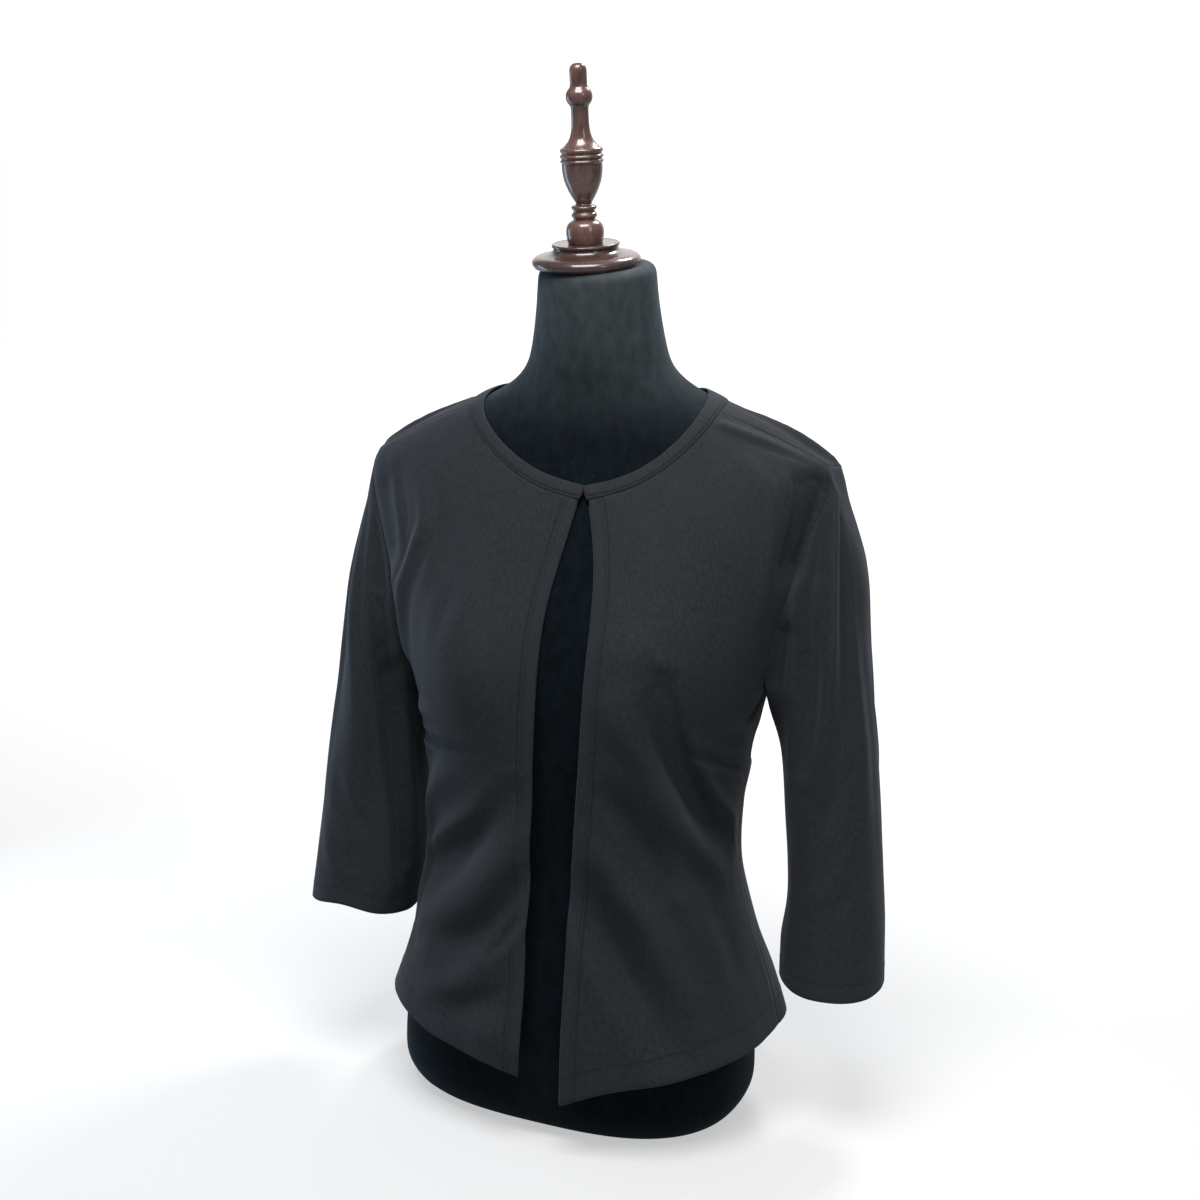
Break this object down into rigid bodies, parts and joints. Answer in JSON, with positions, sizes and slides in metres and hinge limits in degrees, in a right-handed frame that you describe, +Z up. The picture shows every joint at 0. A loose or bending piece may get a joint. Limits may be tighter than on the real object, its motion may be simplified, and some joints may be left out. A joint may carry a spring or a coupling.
{
  "type": "cardigan on limbless dress form",
  "caption": "Collarless jersey cardigan with bound round neck and three-quarter set-in sleeves, hanging open in front on a limbless velvet dress form with turned wooden cap and finial.",
  "frame": {"origin": "middle of the dress form's flat underside, where it stands on a table or a post", "axes": "+Z up to the finial, -Y out of the front, +X towards the wearer's left"},
  "size_m": [0.5299, 0.2674, 0.8923],
  "materials": {
    "black_jersey": "matte double jersey",
    "black_velvet": "short velvet pile",
    "mahogany": "dark polished varnish",
    "hook_metal": "black enamel"
  },
  "bodies": {
    "root": {"back": "black_jersey", "front_left": "black_jersey", "front_right": "black_jersey", "sleeve_left": "black_jersey", "sleeve_right": "black_jersey", "neck_binding": "black_jersey", "neck_hook": "hook_metal", "dress_form": "black_velvet", "neck_cap": "mahogany", "finial": "mahogany"}
  },
  "joints": []
}
